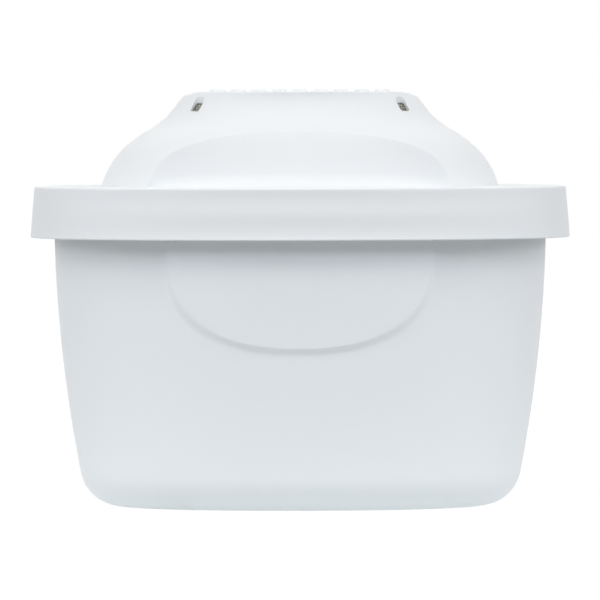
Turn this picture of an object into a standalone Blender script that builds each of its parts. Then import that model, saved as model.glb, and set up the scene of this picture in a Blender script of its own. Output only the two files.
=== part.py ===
"""Oval water pitcher filter cartridge: moulded cup, welded domed lid, mesh screens and granulate bed.

Metres, +Z up. The origin is the middle of the base, at the level that the cartridge stands on.
The long way is X, and -Y is the front.
"""
import math

import bmesh
import bpy
from mathutils import Vector

# Driving sizes of the whole part
PLAN_POWER = 2.25          # exponent of the oval plan, where 2 is an ellipse
RIM_HALF_WIDTH = 0.0525    # skirt's lower edge, outside
RIM_HALF_DEPTH = 0.0400
RIM_UNDERSIDE_Z = 0.0522   # lower edge of the skirt
FLANGE_TOP_Z = 0.0621
CLEARANCE = 0.0003         # between pieces that are welded or laid together
CUT_MARGIN = 0.002         # how far a cutter runs past what it cuts
SEGMENTS = 64              # straight facets around each oval
ROUND_SEGMENTS = 36        # and around each circle
DOME_RINGS = 8             # steps of the dome's rise, then of the neck's, the foot's and the cup's
NECK_RINGS = 3
FOOT_RINGS = 4
CUP_RINGS = 4
CROWN_STEPS = 4
SCOOP_COLUMNS = 32
SCOOP_FILLET_ROWS = 4
SCOOP_WALL_ROWS = 6
POCKET_STEPS = 4
PAD_STEPS = 20

# Lid
WALL = 0.0012
SKIRT_FLARE = 0.0008       # how much wider the skirt is at its lower edge than at its top
RIM_EDGE_RADIUS = 0.0005
FLANGE_END_WIDTH = 0.0138  # flat flange between the rim and the dome's foot, at the oval's ends
FLANGE_SIDE_WIDTH = 0.0095 # and at its front and back
DOME_HEIGHT = 0.0109       # flange to shoulder
DOME_SHOULDER_INSET = 0.0091
DOME_LEAN = 0.35           # inset for each metre of rise, from the dome's foot on
DOME_POWER = 2.8           # how late the dome's side then turns inwards
NECK_BLEND_RISE = 0.0037   # shoulder to the foot of the straight neck
NECK_BLEND_INSET = 0.0046
NECK_RISE = 0.0028         # straight sloping neck under the top plate
NECK_INSET = 0.00215
NECK_SIDE_INSET = 0.0063   # shoulder to the top plate at the front and back, where the neck is hollow
CROWN_RISE = 0.0010        # top plate's middle above its two ends
CROWN_SHOULDER = 0.0048    # length of the bend at each end of the top plate
TONGUE_DEPTH = 0.0026      # weld tongue that reaches down inside the cup
TONGUE_WALL = 0.0010

# Finger scoops in the front and back of the dome
SCOOP_END = 0.0095         # from the dome's end to the scoop's end, at the flange
SCOOP_RISE = 0.0107        # highest point of the scoop's outline, above the flange
SCOOP_SETBACK = 0.0088     # from the dome's foot to the scoop's wall at that point
SCOOP_LEAN = 0.27          # how far the wall comes forward for each metre down
SCOOP_BOW = 0.0029         # how strongly the wall curves back beside its middle
SCOOP_BOW_POWER = 8        # how late it comes forward again towards its ends
SCOOP_FILLET = 0.0026      # between the scoop's wall and the flange

# Inlet windows through the corners of the neck
WINDOW_FROM_END = 0.0037   # middle of a window's inner side from the plate's end
WINDOW_LENGTH = 0.0023     # along the neck's oval
WINDOW_WIDTH = 0.0019      # outwards from the plate's edge
WINDOW_LEDGE = 0.0003      # thickness of the wall round a window, over its screen
SCREEN_MARGIN = 0.0006     # how far an inlet screen reaches past its window
SCREEN_THICKNESS = 0.0003
SCREEN_GAPS_LONG = 4
SCREEN_GAPS_WIDE = 3

# Grip ribs on the top plate
RIB_PITCH = 0.0040         # plain flat ribs, side by side along the plate
RIB_WIDTH = 0.0028
RIB_RISE = 0.0004          # above the middle of the top plate
RIB_SIDE_MARGIN = 0.0042   # from a rib's end to the plate's edge
RIB_END_MARGIN = 0.0055    # from the last rib's middle to the plate's end

# Cup
CUP_WALL = 0.0012
COLLAR_CHANNEL = 0.0035    # between skirt and cup, at the level of the skirt's lower edge
CUP_DRAFT = 0.022          # inset for each metre of drop
CUP_BELLY = 1.9            # further inset for each square metre of drop
FOOT_RADIUS = 0.0080
CUP_FLOOR = 0.0014
LIP_WIDTH = 0.0016
LIP_THICKNESS = 0.0013

# Raised pads on the cup's front and back
PAD_HALF_WIDTH = 0.0249
PAD_CENTRE_Z = 0.0479
PAD_DROP = 0.0169
PAD_POWER = 2.4
PAD_PROUD = 0.0008

# Outlet well in the base
WELL_MOUTH_RADIUS = 0.0112
WELL_ROOF_RADIUS = 0.0098
WELL_HEIGHT = 0.0095
WELL_ROOF = 0.0014
OUTLET_WINDOW_INNER = 0.0022
OUTLET_WINDOW_OUTER = 0.0082
OUTLET_WINDOWS = 6
OUTLET_SPOKE = 0.0014
OUTLET_SCREEN_RADIUS = 0.0092
OUTLET_SCREEN_THICKNESS = 0.0006
OUTLET_GAP_PITCH = 0.0018
OUTLET_GAP = 0.0010

# Granulate bed
MEDIA_TOP_Z = 0.0440
MEDIA_HEAP = 0.0012        # how much the bed is heaped in its middle

# Sizes worked out from those above
DOME_HALF_WIDTH = RIM_HALF_WIDTH - FLANGE_END_WIDTH
DOME_HALF_DEPTH = RIM_HALF_DEPTH - FLANGE_SIDE_WIDTH
CUP_HALF_WIDTH = RIM_HALF_WIDTH - WALL - COLLAR_CHANNEL
CUP_HALF_DEPTH = RIM_HALF_DEPTH - WALL - COLLAR_CHANNEL
SCOOP_HALF_WIDTH = DOME_HALF_WIDTH - SCOOP_END
SCOOP_TOP_Z = FLANGE_TOP_Z + SCOOP_RISE
FLANGE_UNDERSIDE_Z = FLANGE_TOP_Z - WALL
CUP_TOP_Z = FLANGE_UNDERSIDE_Z - CLEARANCE
SHOULDER_Z = FLANGE_TOP_Z + DOME_HEIGHT
NECK_FOOT_Z = SHOULDER_Z + NECK_BLEND_RISE
PLATE_EDGE_Z = NECK_FOOT_Z + NECK_RISE
PLATE_TOP_Z = PLATE_EDGE_Z + CROWN_RISE
NECK_FOOT_INSET = DOME_SHOULDER_INSET + NECK_BLEND_INSET
PLATE_HALF_WIDTH = DOME_HALF_WIDTH - NECK_FOOT_INSET - NECK_INSET
WELL_TOP_Z = WELL_HEIGHT + WELL_ROOF


def clear_scene():
    for item in list(bpy.data.objects):
        bpy.data.objects.remove(item, do_unlink=True)


def make_material(name, colour, roughness):
    material = bpy.data.materials.new(name)
    material.use_nodes = True
    shader = material.node_tree.nodes["Principled BSDF"]
    shader.inputs["Base Color"].default_value = (*colour, 1.0)
    shader.inputs["Roughness"].default_value = roughness
    shader.inputs["Metallic"].default_value = 0.0
    material.diffuse_color = (*colour, 1.0)
    return material


def add_object(name, mesh_data, material=None):
    mesh = bpy.data.meshes.new(name)
    mesh_data.to_mesh(mesh)
    mesh_data.free()
    item = bpy.data.objects.new(name, mesh)
    bpy.context.scene.collection.objects.link(item)
    if material:
        mesh.materials.append(material)
    return item


def add_cutter(name, mesh_data):
    item = add_object(name, mesh_data)
    item.hide_render = True
    item.display_type = "WIRE"
    return item


def combine(target, tool, operation):
    modifier = target.modifiers.new(tool.name, "BOOLEAN")
    modifier.operation = operation
    modifier.solver = "EXACT"
    modifier.object = tool


def smooth(item, angle):
    item.data.shade_smooth()
    item.data.set_sharp_from_angle(angle=math.radians(angle))


def oval_point(half_width, half_depth, turn):
    """A point of the oval plan, where turn runs from 0 to 1 around it from +X."""
    angle = 2 * math.pi * turn
    cosine = math.cos(angle)
    sine = math.sin(angle)
    x = half_width * math.copysign(abs(cosine) ** (2 / PLAN_POWER), cosine)
    y = half_depth * math.copysign(abs(sine) ** (2 / PLAN_POWER), sine)
    return x, y


def oval_depth(half_width, half_depth, x):
    """Half-depth of the oval at the distance x from its middle."""
    share = min(abs(x) / half_width, 1.0)
    return half_depth * (1 - share ** PLAN_POWER) ** (1 / PLAN_POWER)


def oval_loft(rings, high_pole=None):
    """Closed skin through ovals given as (half width, half depth, height), bottom first.

    The upper end closes on a pole at the given height, or flat where there is none.
    """
    count = SEGMENTS
    mesh = bmesh.new()
    loops = []
    for half_width, half_depth, height in rings:
        loop = []
        for step in range(count):
            x, y = oval_point(half_width, half_depth, step / count)
            loop.append(mesh.verts.new((x, y, height)))
        loops.append(loop)
    for lower, upper in zip(loops, loops[1:]):
        for step in range(count):
            following = (step + 1) % count
            mesh.faces.new((lower[step], lower[following], upper[following], upper[step]))
    mesh.faces.new(list(reversed(loops[0])))
    if high_pole is None:
        mesh.faces.new(loops[-1])
        return mesh
    tip = mesh.verts.new((0, 0, high_pole))
    for step in range(count):
        mesh.faces.new((loops[-1][step], loops[-1][(step + 1) % count], tip))
    return mesh


def round_loft(rings):
    """Closed round solid through circles given as (radius, height), bottom first."""
    count = ROUND_SEGMENTS
    mesh = bmesh.new()
    loops = []
    for radius, height in rings:
        loop = []
        for step in range(count):
            angle = 2 * math.pi * step / count
            loop.append(mesh.verts.new((radius * math.cos(angle), radius * math.sin(angle), height)))
        loops.append(loop)
    for lower, upper in zip(loops, loops[1:]):
        for step in range(count):
            following = (step + 1) % count
            mesh.faces.new((lower[step], lower[following], upper[following], upper[step]))
    mesh.faces.new(list(reversed(loops[0])))
    mesh.faces.new(loops[-1])
    return mesh


def add_prism(mesh, outline, low_z, high_z):
    """Adds an upright prism on a plan outline that runs counter-clockwise seen from above."""
    lower = [mesh.verts.new((x, y, low_z)) for x, y in outline]
    upper = [mesh.verts.new((x, y, high_z)) for x, y in outline]
    mesh.faces.new(list(reversed(lower)))
    mesh.faces.new(upper)
    count = len(outline)
    for step in range(count):
        following = (step + 1) % count
        mesh.faces.new((lower[step], lower[following], upper[following], upper[step]))


def add_block(mesh, low, high):
    outline = ((low[0], low[1]), (high[0], low[1]), (high[0], high[1]), (low[0], high[1]))
    add_prism(mesh, outline, low[2], high[2])


# Dome and neck

def end_inset(height):
    """How far the ends of dome and neck lie inside the dome's foot, at a height."""
    if height <= SHOULDER_Z:
        rise = max(height - FLANGE_TOP_Z, 0.0)
        turned_in = DOME_SHOULDER_INSET - DOME_LEAN * DOME_HEIGHT
        return DOME_LEAN * rise + turned_in * (rise / DOME_HEIGHT) ** DOME_POWER
    if height <= NECK_FOOT_Z:
        share = (height - SHOULDER_Z) / NECK_BLEND_RISE
        neck_slope = NECK_INSET / NECK_RISE * NECK_BLEND_RISE
        straight = DOME_SHOULDER_INSET + NECK_BLEND_INSET * share
        sag = (NECK_BLEND_INSET - neck_slope) * share * (1 - share)
        return straight + sag
    return NECK_FOOT_INSET + NECK_INSET * (height - NECK_FOOT_Z) / NECK_RISE


def side_inset(height):
    """The same at the front and back, where the neck turns upright towards the plate."""
    if height <= SHOULDER_Z:
        return end_inset(height)
    share = min((height - SHOULDER_Z) / (PLATE_TOP_Z - SHOULDER_Z), 1.0)
    return DOME_SHOULDER_INSET + NECK_SIDE_INSET * (1 - (1 - share) ** 2)


def wall_inset(inset, height, depth_inside):
    """Inset of a skin that lies further inside, measured square to the sloping wall."""
    step = 0.0001
    low = max(height - step, FLANGE_TOP_Z)
    slope = (inset(height + step) - inset(low)) / (height + step - low)
    return inset(height) + depth_inside * math.hypot(1.0, slope)


def dome_oval(height, depth_inside=0.0):
    """Oval of the dome or neck at a height, or of a skin that lies further inside."""
    half_width = DOME_HALF_WIDTH - wall_inset(end_inset, height, depth_inside)
    half_depth = DOME_HALF_DEPTH - wall_inset(side_inset, height, depth_inside)
    return half_width, half_depth


def dome_height_at(x, y, depth_inside):
    """Height at which a skin of dome and neck passes over a point of the plan."""
    low = FLANGE_TOP_Z
    high = PLATE_EDGE_Z
    for _ in range(30):
        middle = (low + high) / 2
        half_width, half_depth = dome_oval(middle, depth_inside)
        if abs(x) < half_width and abs(y) < oval_depth(half_width, half_depth, x):
            low = middle
        else:
            high = middle
    return low


def dome_heights():
    dome = [FLANGE_TOP_Z + DOME_HEIGHT * step / DOME_RINGS for step in range(DOME_RINGS + 1)]
    blend = [SHOULDER_Z + NECK_BLEND_RISE * step / NECK_RINGS for step in range(1, NECK_RINGS + 1)]
    return dome + blend


def crown():
    """Block over the whole dome whose upper side is the crown: level, with its ends bent down."""
    level_half = PLATE_HALF_WIDTH - CROWN_SHOULDER
    outline = []
    for step in range(CROWN_STEPS + 1):
        share = step / CROWN_STEPS
        outline.append((level_half + CROWN_SHOULDER * share, PLATE_TOP_Z - CROWN_RISE * share ** 2))
    end_slope = 2 * CROWN_RISE / CROWN_SHOULDER
    far = DOME_HALF_WIDTH + CUT_MARGIN
    outline.append((far, PLATE_EDGE_Z - end_slope * (far - PLATE_HALF_WIDTH)))
    outline.append((far, FLANGE_UNDERSIDE_Z))
    outline += [(-x, z) for x, z in reversed(outline)]
    mesh = bmesh.new()
    reach = DOME_HALF_DEPTH + CUT_MARGIN
    near = [mesh.verts.new((x, -reach, z)) for x, z in outline]
    back = [mesh.verts.new((x, reach, z)) for x, z in outline]
    mesh.faces.new(near)
    mesh.faces.new(list(reversed(back)))
    for step in range(len(outline)):
        following = (step + 1) % len(outline)
        mesh.faces.new((near[step], near[following], back[following], back[step]))
    bmesh.ops.recalc_face_normals(mesh, faces=mesh.faces)
    return mesh


def dome_outside():
    """Solid dome and neck, from inside the flange's thickness to above the crown."""
    foot = FLANGE_TOP_Z - WALL / 2
    top = PLATE_TOP_Z + WALL / 2
    rings = [(DOME_HALF_WIDTH, DOME_HALF_DEPTH, foot)]
    rings += [(*dome_oval(height), height) for height in dome_heights()]
    rings.append((*dome_oval(top), top))
    return oval_loft(rings)


def dome_hollow():
    """Space under the dome, one wall inside it and open into the skirt's space."""
    low = FLANGE_UNDERSIDE_Z - CUT_MARGIN / 2
    rings = [(DOME_HALF_WIDTH - WALL, DOME_HALF_DEPTH - WALL, low)]
    rings += [(*dome_oval(height, WALL), height) for height in dome_heights()]
    roof = PLATE_EDGE_Z - WALL
    rings.append((*dome_oval(roof, WALL), roof))
    return oval_loft(rings, high_pole=PLATE_TOP_Z - WALL)


def scoop_wall(x, height):
    """Distance of a scoop's wall from the part's middle plane."""
    across = min(abs(x) / SCOOP_HALF_WIDTH, 1.0)
    rise = min(max(height - FLANGE_TOP_Z, 0.0), SCOOP_FILLET)
    fillet = SCOOP_FILLET - math.sqrt(SCOOP_FILLET ** 2 - (SCOOP_FILLET - rise) ** 2)
    forward = SCOOP_LEAN * (SCOOP_TOP_Z - height) + fillet
    bow = SCOOP_BOW * across ** 2 * (1 - across ** SCOOP_BOW_POWER)
    return DOME_HALF_DEPTH - SCOOP_SETBACK - bow + (1 - across ** 2) * forward


def scoop_heights():
    """Heights of the rows of a scoop's cutter: close together round the fillet."""
    heights = [FLANGE_TOP_Z - WALL - CUT_MARGIN]
    for step in range(SCOOP_FILLET_ROWS + 1):
        angle = math.pi / 2 * step / SCOOP_FILLET_ROWS
        heights.append(FLANGE_TOP_Z + SCOOP_FILLET * (1 - math.cos(angle)))
    low = heights[-1]
    step_up = (SCOOP_TOP_Z + CUT_MARGIN - low) / SCOOP_WALL_ROWS
    heights += [low + step_up * step for step in range(1, SCOOP_WALL_ROWS + 1)]
    return heights


def scoop_cutter(side, depth_inside):
    """Solid in front of one scoop's wall: side -1 is the front and 1 the back."""
    reach = RIM_HALF_DEPTH + CUT_MARGIN
    half_width = SCOOP_HALF_WIDTH + CUT_MARGIN
    heights = scoop_heights()
    rows = len(heights) - 1
    columns = SCOOP_COLUMNS
    across = [-half_width + 2 * half_width * column / columns for column in range(columns + 1)]
    mesh = bmesh.new()
    near, far = [], []
    for x in across:
        near.append([mesh.verts.new((x, side * (scoop_wall(x, z) - depth_inside), z)) for z in heights])
        far.append([mesh.verts.new((x, side * reach, z)) for z in heights])
    for column in range(columns):
        for row in range(rows):
            for sheet in (near, far):
                mesh.faces.new((sheet[column][row], sheet[column + 1][row],
                                sheet[column + 1][row + 1], sheet[column][row + 1]))
        for row in (0, rows):
            mesh.faces.new((near[column][row], near[column + 1][row], far[column + 1][row], far[column][row]))
    for row in range(rows):
        for column in (0, columns):
            mesh.faces.new((near[column][row], near[column][row + 1], far[column][row + 1], far[column][row]))
    bmesh.ops.recalc_face_normals(mesh, faces=mesh.faces)
    return mesh


# Windows in the neck's corners, and their screens

def neck_normal(x, y):
    """Outward direction, in plan, of the neck's oval at one of its points."""
    half_width, half_depth = dome_oval(PLATE_EDGE_Z)
    across = math.copysign(abs(x / half_width) ** (PLAN_POWER - 1) / half_width, x)
    along = math.copysign(abs(y / half_depth) ** (PLAN_POWER - 1) / half_depth, y)
    return Vector((across, along)).normalized()


def window_frame(side_x, side_y):
    """Middle of a window's inner side in plan, with its outward and sideways directions."""
    half_width, half_depth = dome_oval(PLATE_EDGE_Z)
    x = side_x * (PLATE_HALF_WIDTH - WINDOW_FROM_END)
    y = side_y * oval_depth(half_width, half_depth, x)
    outward = neck_normal(x, y)
    return Vector((x, y)), outward, Vector((-outward.y, outward.x))


def window_cutters():
    mesh = bmesh.new()
    low_z = SHOULDER_Z - WALL
    high_z = PLATE_TOP_Z + CUT_MARGIN
    for side_x in (-1, 1):
        for side_y in (-1, 1):
            middle, outward, sideways = window_frame(side_x, side_y)
            outline = []
            for out, along in ((0, -1), (1, -1), (1, 1), (0, 1)):
                outline.append(middle + outward * WINDOW_WIDTH * out + sideways * WINDOW_LENGTH / 2 * along)
            add_prism(mesh, outline, low_z, high_z)
    return mesh


def patch_grid(mesh, place, lines, rows, margin, depth_inside):
    """Grid of points on a skin inside the neck that reaches past a window by a margin."""
    middle, outward, sideways = place
    half_length = WINDOW_LENGTH / 2 + margin
    grid = []
    for line in range(lines + 1):
        along = half_length * (2 * line / lines - 1)
        points = []
        for row in range(rows + 1):
            out = (WINDOW_WIDTH + 2 * margin) * row / rows - margin
            spot = middle + outward * out + sideways * along
            height = min(dome_height_at(*spot, depth_inside), PLATE_EDGE_Z - depth_inside)
            points.append(mesh.verts.new((spot.x, spot.y, height)))
        grid.append(points)
    return grid


def window_pockets():
    """Pockets that hold the inlet screens, cut from inside and leaving a ledge round each window."""
    mesh = bmesh.new()
    steps = POCKET_STEPS
    margin = SCREEN_MARGIN + CLEARANCE
    for side_x in (-1, 1):
        for side_y in (-1, 1):
            place = window_frame(side_x, side_y)
            near = patch_grid(mesh, place, steps, steps, margin, WINDOW_LEDGE)
            far = patch_grid(mesh, place, steps, steps, margin, WALL + CLEARANCE)
            for line in range(steps):
                for row in range(steps):
                    for skin in (near, far):
                        mesh.faces.new((skin[line][row], skin[line + 1][row],
                                        skin[line + 1][row + 1], skin[line][row + 1]))
            for step in range(steps):
                for end in (0, steps):
                    mesh.faces.new((near[step][end], near[step + 1][end], far[step + 1][end], far[step][end]))
                    mesh.faces.new((near[end][step], near[end][step + 1], far[end][step + 1], far[end][step]))
    bmesh.ops.recalc_face_normals(mesh, faces=mesh.faces)
    return mesh


def inlet_screen(side_x, side_y):
    """Small mesh patch in the pocket under its window."""
    place = window_frame(side_x, side_y)
    long_lines = 2 * SCREEN_GAPS_LONG + 1
    wide_lines = 2 * SCREEN_GAPS_WIDE + 1
    near = WINDOW_LEDGE + CLEARANCE
    mesh = bmesh.new()
    skins = []
    for depth in (near, near + SCREEN_THICKNESS):
        skins.append(patch_grid(mesh, place, long_lines, wide_lines, SCREEN_MARGIN, depth))
    solid_cells = {(line, row) for line in range(long_lines) for row in range(wide_lines)
                   if line % 2 == 0 or row % 2 == 0}
    for line, row in solid_cells:
        corners = ((line, row), (line + 1, row), (line + 1, row + 1), (line, row + 1))
        for skin in skins:
            mesh.faces.new([skin[a][b] for a, b in corners])
        sides = (((0, -1), 0, 1), ((1, 0), 1, 2), ((0, 1), 2, 3), ((-1, 0), 3, 0))
        for (step_line, step_row), first, second in sides:
            if (line + step_line, row + step_row) in solid_cells:
                continue
            (a, b), (c, d) = corners[first], corners[second]
            mesh.faces.new((skins[0][a][b], skins[0][c][d], skins[1][c][d], skins[1][a][b]))
    bmesh.ops.recalc_face_normals(mesh, faces=mesh.faces)
    return mesh


# Lid

def flange_and_skirt():
    """Solid rim, before it is hollowed from below."""
    top_width = RIM_HALF_WIDTH - SKIRT_FLARE
    top_depth = RIM_HALF_DEPTH - SKIRT_FLARE
    rings = [(RIM_HALF_WIDTH, RIM_HALF_DEPTH, RIM_UNDERSIDE_Z)]
    for degrees in (0, 90):
        angle = math.radians(degrees)
        inset = RIM_EDGE_RADIUS * (1 - math.cos(angle))
        height = FLANGE_TOP_Z - RIM_EDGE_RADIUS * (1 - math.sin(angle))
        rings.append((top_width - inset, top_depth - inset, height))
    return oval_loft(rings)


def skirt_hollow():
    """Space inside the skirt, with a groove that leaves the weld tongue standing."""
    width = RIM_HALF_WIDTH - WALL
    depth = RIM_HALF_DEPTH - WALL
    tongue_width, tongue_depth = cup_oval(CUP_TOP_Z, CUP_WALL + CLEARANCE)
    tongue_low = CUP_TOP_Z - TONGUE_DEPTH
    inner_width = tongue_width - TONGUE_WALL
    inner_depth = tongue_depth - TONGUE_WALL
    top = FLANGE_UNDERSIDE_Z
    rings = [
        (width, depth, RIM_UNDERSIDE_Z - CUT_MARGIN),
        (width, depth, RIM_UNDERSIDE_Z),
        (width - SKIRT_FLARE, depth - SKIRT_FLARE, top),
        (tongue_width, tongue_depth, top),
        (tongue_width - CLEARANCE, tongue_depth - CLEARANCE, tongue_low),
        (inner_width, inner_depth, tongue_low),
        (inner_width, inner_depth, top),
    ]
    return oval_loft(rings)


def grip_ribs():
    mesh = bmesh.new()
    half_width, half_depth = dome_oval(PLATE_TOP_Z)
    side_count = int((PLATE_HALF_WIDTH - RIB_END_MARGIN) / RIB_PITCH)
    for number in range(-side_count, side_count + 1):
        x = number * RIB_PITCH
        half_length = oval_depth(half_width, half_depth, x) - RIB_SIDE_MARGIN
        add_block(mesh, (x - RIB_WIDTH / 2, -half_length, PLATE_TOP_Z - WALL / 2),
                  (x + RIB_WIDTH / 2, half_length, PLATE_TOP_Z + RIB_RISE))
    return mesh


def make_lid(material):
    lid = add_object("lid", flange_and_skirt(), material)
    dome = add_cutter("dome_outside", dome_outside())
    combine(dome, add_cutter("crown", crown()), "INTERSECT")
    hollow = add_cutter("dome_hollow", dome_hollow())
    for side, name in ((-1, "front"), (1, "back")):
        combine(dome, add_cutter(f"scoop_{name}", scoop_cutter(side, 0.0)), "DIFFERENCE")
        combine(hollow, add_cutter(f"scoop_hollow_{name}", scoop_cutter(side, WALL)), "DIFFERENCE")
    combine(lid, dome, "UNION")
    combine(lid, add_cutter("grip_ribs", grip_ribs()), "UNION")
    combine(lid, add_cutter("skirt_hollow", skirt_hollow()), "DIFFERENCE")
    combine(lid, hollow, "DIFFERENCE")
    combine(lid, add_cutter("windows", window_cutters()), "DIFFERENCE")
    combine(lid, add_cutter("window_pockets", window_pockets()), "DIFFERENCE")
    smooth(lid, 22)
    return lid


# Cup

def cup_inset(height):
    drop = RIM_UNDERSIDE_Z - height
    return CUP_DRAFT * drop + CUP_BELLY * drop * abs(drop)


def cup_oval(height, depth_inside=0.0):
    inset = cup_inset(height) + depth_inside
    return CUP_HALF_WIDTH - inset, CUP_HALF_DEPTH - inset


def cup_skin(depth_inside, floor_z, top_z):
    """Ovals of a skin that follows the cup's outside, from its floor up round the foot.

    The foot's arc ends where it leans as much as the wall that it runs into.
    """
    radius = max(FOOT_RADIUS - depth_inside, 0.0005)
    lean = math.atan(CUP_DRAFT + 2 * CUP_BELLY * (RIM_UNDERSIDE_Z - floor_z - radius))
    wall_foot = floor_z + radius * (1 - math.sin(lean))
    half_width, half_depth = cup_oval(wall_foot, depth_inside)
    rings = []
    for step in range(FOOT_RINGS):
        angle = (math.pi / 2 - lean) * step / FOOT_RINGS
        height = floor_z + radius * (1 - math.cos(angle))
        inset = radius * (math.cos(lean) - math.sin(angle))
        rings.append((half_width - inset, half_depth - inset, height))
    for step in range(CUP_RINGS + 1):
        height = wall_foot + (top_z - wall_foot) * step / CUP_RINGS
        rings.append((*cup_oval(height, depth_inside), height))
    return rings


def pad_solid(side):
    """Plate that stands proud of the cup's wall inside a round-bottomed outline."""
    top = (RIM_UNDERSIDE_Z + FLANGE_UNDERSIDE_Z) / 2
    mesh = oval_loft(cup_skin(-PAD_PROUD, 0.0, top))
    place = "front" if side < 0 else "back"
    pad = add_cutter(f"pad_{place}", mesh)
    outline = [(PAD_HALF_WIDTH, FLANGE_TOP_Z), (-PAD_HALF_WIDTH, FLANGE_TOP_Z)]
    for step in range(PAD_STEPS + 1):
        angle = math.pi + math.pi * step / PAD_STEPS
        x = PAD_HALF_WIDTH * math.copysign(abs(math.cos(angle)) ** (2 / PAD_POWER), math.cos(angle))
        z = PAD_CENTRE_Z - PAD_DROP * abs(math.sin(angle)) ** (2 / PAD_POWER)
        outline.append((x, z))
    prism = bmesh.new()
    near = [prism.verts.new((x, side * CUP_HALF_DEPTH / 2, z)) for x, z in outline]
    far = [prism.verts.new((x, side * (RIM_HALF_DEPTH + CUT_MARGIN), z)) for x, z in outline]
    prism.faces.new(near)
    prism.faces.new(list(reversed(far)))
    for step in range(len(outline)):
        following = (step + 1) % len(outline)
        prism.faces.new((near[step], near[following], far[following], far[step]))
    bmesh.ops.recalc_face_normals(prism, faces=prism.faces)
    combine(pad, add_cutter(f"pad_outline_{place}", prism), "INTERSECT")
    return pad


def cup_outside():
    """Solid cup with its outward lip."""
    lip_low = CUP_TOP_Z - LIP_THICKNESS
    rings = cup_skin(0.0, 0.0, lip_low)
    half_width, half_depth = cup_oval(CUP_TOP_Z)
    rings.append((half_width + LIP_WIDTH, half_depth + LIP_WIDTH, lip_low))
    rings.append((half_width + LIP_WIDTH, half_depth + LIP_WIDTH, CUP_TOP_Z))
    return oval_loft(rings)


def outlet_windows(low_z, high_z):
    """Sectors between the spokes of the outlet well's roof."""
    mesh = bmesh.new()
    arc_steps = 5
    for number in range(OUTLET_WINDOWS):
        middle = 2 * math.pi * (number + 0.5) / OUTLET_WINDOWS
        outline = []
        for radius, order in ((OUTLET_WINDOW_OUTER, 1), (OUTLET_WINDOW_INNER, -1)):
            spread = math.pi / OUTLET_WINDOWS - math.asin(OUTLET_SPOKE / 2 / radius)
            for step in range(arc_steps + 1):
                angle = middle + order * spread * (2 * step / arc_steps - 1)
                outline.append((radius * math.cos(angle), radius * math.sin(angle)))
        add_prism(mesh, outline, low_z, high_z)
    return mesh


def make_cup(material):
    cup = add_object("cup", cup_outside(), material)
    for side in (-1, 1):
        combine(cup, pad_solid(side), "UNION")
    hollow_rings = cup_skin(CUP_WALL, CUP_FLOOR, CUP_TOP_Z + CUT_MARGIN)
    hollow = add_cutter("cup_hollow", oval_loft(hollow_rings))
    boss = round_loft(((WELL_MOUTH_RADIUS + CUP_WALL, -CUT_MARGIN), (WELL_MOUTH_RADIUS + CUP_WALL, 0.0),
                       (WELL_ROOF_RADIUS + CUP_WALL, WELL_TOP_Z)))
    combine(hollow, add_cutter("well_boss", boss), "DIFFERENCE")
    combine(cup, hollow, "DIFFERENCE")
    well = round_loft(((WELL_MOUTH_RADIUS, -CUT_MARGIN), (WELL_MOUTH_RADIUS, 0.0),
                       (WELL_ROOF_RADIUS, WELL_HEIGHT)))
    combine(cup, add_cutter("well", well), "DIFFERENCE")
    windows = outlet_windows(WELL_HEIGHT - WELL_ROOF, WELL_TOP_Z + CUT_MARGIN)
    combine(cup, add_cutter("outlet_windows", windows), "DIFFERENCE")
    smooth(cup, 30)
    return cup


# Outlet screen and granulate bed

def make_outlet_screen(material):
    low = WELL_TOP_Z + CLEARANCE
    high = low + OUTLET_SCREEN_THICKNESS
    disc = round_loft(((OUTLET_SCREEN_RADIUS, low), (OUTLET_SCREEN_RADIUS, high)))
    screen = add_object("outlet_screen", disc, material)
    gaps = bmesh.new()
    reach = int(OUTLET_SCREEN_RADIUS / OUTLET_GAP_PITCH)
    for column in range(-reach, reach + 1):
        for row in range(-reach, reach + 1):
            x = column * OUTLET_GAP_PITCH
            y = row * OUTLET_GAP_PITCH
            if math.hypot(abs(x) + OUTLET_GAP, abs(y) + OUTLET_GAP) > OUTLET_SCREEN_RADIUS:
                continue
            half = OUTLET_GAP / 2
            add_block(gaps, (x - half, y - half, low - CUT_MARGIN), (x + half, y + half, high + CUT_MARGIN))
    combine(screen, add_cutter("outlet_gaps", gaps), "DIFFERENCE")
    return screen


def make_filter_media(material):
    rings = cup_skin(CUP_WALL + CLEARANCE, CUP_FLOOR + CLEARANCE, MEDIA_TOP_Z)
    media = add_object("filter_media", oval_loft(rings, high_pole=MEDIA_TOP_Z + MEDIA_HEAP), material)
    room = CUP_WALL + CLEARANCE
    over = WELL_TOP_Z + CLEARANCE + OUTLET_SCREEN_THICKNESS + CLEARANCE
    boss = round_loft(((WELL_MOUTH_RADIUS + room, -CUT_MARGIN), (WELL_MOUTH_RADIUS + room, 0.0),
                       (WELL_ROOF_RADIUS + room, over)))
    combine(media, add_cutter("room_for_well", boss), "DIFFERENCE")
    smooth(media, 40)
    return media


def main():
    clear_scene()
    plastic = make_material("white_plastic", (0.84, 0.86, 0.87), 0.45)
    lid_plastic = make_material("lid_plastic", (0.86, 0.88, 0.89), 0.42)
    mesh_cloth = make_material("screen_mesh", (0.42, 0.43, 0.36), 0.7)
    granulate = make_material("granulate", (0.16, 0.13, 0.10), 0.9)
    make_cup(plastic)
    make_lid(lid_plastic)
    for side_x, across in ((-1, "left"), (1, "right")):
        for side_y, along in ((-1, "front"), (1, "back")):
            add_object(f"inlet_screen_{along}_{across}", inlet_screen(side_x, side_y), mesh_cloth)
    make_outlet_screen(mesh_cloth)
    make_filter_media(granulate)


main()
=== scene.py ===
"""Looks of the oval water pitcher filter cartridge: fine moulded shells, woven screens, granulate, studio.

Metres, +Z up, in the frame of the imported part. The long way is X, and -Y is the front.
"""
import math

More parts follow.
